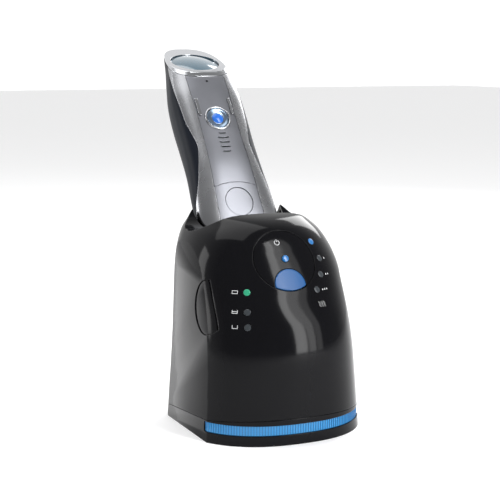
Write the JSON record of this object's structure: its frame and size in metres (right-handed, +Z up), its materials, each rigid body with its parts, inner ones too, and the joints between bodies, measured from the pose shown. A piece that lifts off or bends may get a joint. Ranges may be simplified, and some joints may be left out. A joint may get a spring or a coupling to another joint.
{
  "type": "electric shaver with cleaning station",
  "caption": "Foil shaver standing head down in a gloss black cleaning and charging station, with a lift-off housing, slide-out cartridge, keys, pump, fan and pivoting foil head.",
  "frame": {"origin": "middle of the underside of the station's base, on the table", "axes": "+Z up, +X to the right as seen from the front, the control dial faces -Y, the shaver leans towards +Y"},
  "size_m": [0.128, 0.2396, 0.2887],
  "materials": {
    "station_black": "deep gloss black, light picks up long soft reflections",
    "pad_rubber": "soft matt rubber",
    "strip_blue": "ribbed light pipe, glowing blue",
    "board_green": "solder-masked board",
    "post_steel": "ground rod",
    "inner_black": "plain moulded black",
    "cartridge_white": "milky moulded tub",
    "cartridge_blue": "blue moulded lid",
    "filter_felt": "felt disc",
    "fluid_blue": "clear pale blue liquid",
    "lamp_blue": "small lit blue lens",
    "lamp_green": "small lit green lens",
    "lamp_dark": "unlit smoky lens",
    "start_blue": "clear blue over dark",
    "bowl_grey": "moulded grey cup",
    "tube_grey": "pale grey tube",
    "pump_white": "white moulding",
    "motor_steel": "plated can",
    "fan_grey": "dark moulding",
    "contact_gold": "gilt contact",
    "shell_silver": "satin silver lacquer",
    "panel_silver": "satin silver lacquer, a shade darker",
    "grip_rubber": "soft dark blue-grey grip",
    "bright_chrome": "bright plated ring",
    "end_glass": "smoky blue-green domed window",
    "button_blue": "pale dished ring round a lit blue lens",
    "chassis_grey": "glass-filled grey moulding",
    "yoke_steel": "pressed steel",
    "cell_green": "shrink-wrapped cell",
    "trimmer_steel": "brushed steel blades",
    "frame_silver": "silver moulding",
    "foil_steel": "thin perforated foil",
    "comb_gold": "gilt cutter"
  },
  "bodies": {
    "base": {"base_plate": "station_black", "rubber_pads": "pad_rubber", "light_strip": "strip_blue", "light_board": "board_green", "guide_posts": "post_steel", "power_inlet": "inner_black", "base_screws": "post_steel"},
    "cartridge": {"cartridge_tub": "cartridge_white", "cartridge_lid": "cartridge_blue", "cartridge_filter": "filter_felt", "cleaning_fluid": "fluid_blue"},
    "housing": {"housing_shell": "station_black", "inner_deck": "inner_black", "dial_panel": "station_black", "power_lens": "lamp_blue", "program_lenses": "lamp_blue", "level_lens_full": "lamp_green", "level_lenses_low": "lamp_dark", "side_grips": "station_black", "guide_sleeves": "inner_black", "cleaning_bowl": "bowl_grey", "drain_tube": "tube_grey", "pump_housing": "pump_white", "pump_motor": "motor_steel", "fan_frame": "inner_black", "control_board": "board_green", "contact_block": "inner_black", "contact_pins": "contact_gold"},
    "start_key": {"start_button": "start_blue"},
    "lift_key": {"lift_button": "inner_black"},
    "impeller": {"pump_impeller": "pump_white"},
    "fan": {"fan_rotor": "fan_grey"},
    "shaver": {"front_shell": "shell_silver", "rear_shell": "grip_rubber", "front_panel": "panel_silver", "lower_panel": "panel_silver", "button_bezel": "bright_chrome", "end_ring": "bright_chrome", "end_lens": "end_glass", "inner_chassis": "chassis_grey", "pivot_yoke": "yoke_steel", "battery_cell": "cell_green", "drive_motor": "motor_steel", "shaver_board": "board_green", "charge_contacts": "contact_gold"},
    "power_key": {"power_button": "button_blue"},
    "left_key": {"side_key_left": "bright_chrome"},
    "right_key": {"side_key_right": "bright_chrome"},
    "release_key": {"head_release": "panel_silver"},
    "trimmer": {"beard_trimmer": "trimmer_steel"},
    "head": {"head_cradle": "chassis_grey", "foil_frame": "frame_silver", "foil_screens": "foil_steel", "centre_trimmer": "comb_gold"},
    "cutter": {"cutter_block": "trimmer_steel"}
  },
  "joints": [
    {"name": "cartridge_slide", "type": "slide", "parent": "base", "child": "cartridge", "axis": [0, 1, 0], "range_m": [0, 0.11]},
    {"name": "housing_lift", "type": "slide", "parent": "base", "child": "housing", "axis": [0, 0, 1], "range_m": [0, 0.03]},
    {"name": "start_press", "type": "slide", "parent": "housing", "child": "start_key", "axis": [0, 0.8771, -0.4802], "range_m": [0, 0.0012], "stiffness_N_per_m": 600, "springref_m": -0.0006},
    {"name": "lift_press", "type": "slide", "parent": "housing", "child": "lift_key", "axis": [0, -1, 0], "range_m": [0, 0.003], "stiffness_N_per_m": 600, "springref_m": -0.0006},
    {"name": "pump_spin", "type": "hinge", "parent": "housing", "child": "impeller", "pos_m": [-0.024, -0.014, 0.062], "axis": [0, 0, 1], "continuous": true},
    {"name": "fan_spin", "type": "hinge", "parent": "housing", "child": "fan", "pos_m": [0.031, -0.014, 0.062], "axis": [0, 0, 1], "continuous": true},
    {"name": "shaver_lift", "type": "slide", "parent": "housing", "child": "shaver", "axis": [0, 0.5878, 0.809], "range_m": [0, 0.14]},
    {"name": "power_press", "type": "slide", "parent": "shaver", "child": "power_key", "axis": [0, 0.809, -0.5878], "range_m": [0, 0.0008], "stiffness_N_per_m": 600, "springref_m": -0.0006},
    {"name": "left_key_press", "type": "slide", "parent": "shaver", "child": "left_key", "axis": [0, 0.809, -0.5878], "range_m": [0, 0.0006], "stiffness_N_per_m": 600, "springref_m": -0.0006},
    {"name": "right_key_press", "type": "slide", "parent": "shaver", "child": "right_key", "axis": [0, 0.809, -0.5878], "range_m": [0, 0.0006], "stiffness_N_per_m": 600, "springref_m": -0.0006},
    {"name": "release_press", "type": "slide", "parent": "shaver", "child": "release_key", "axis": [0, 0.809, -0.5878], "range_m": [0, 0.0008], "stiffness_N_per_m": 600, "springref_m": -0.0006},
    {"name": "trimmer_slide", "type": "slide", "parent": "shaver", "child": "trimmer", "axis": [0, -0.5878, -0.809], "range_m": [0, 0.0025]},
    {"name": "head_pivot", "type": "hinge", "parent": "shaver", "child": "head", "pos_m": [0, 0.03701, 0.14125], "axis": [1, 0, 0], "range_deg": [-8, 8], "stiffness_Nm_per_rad": 0.3},
    {"name": "cutter_slide", "type": "slide", "parent": "head", "child": "cutter", "axis": [1, 0, 0], "range_m": [-0.001, 0.001], "stiffness_N_per_m": 800}
  ]
}
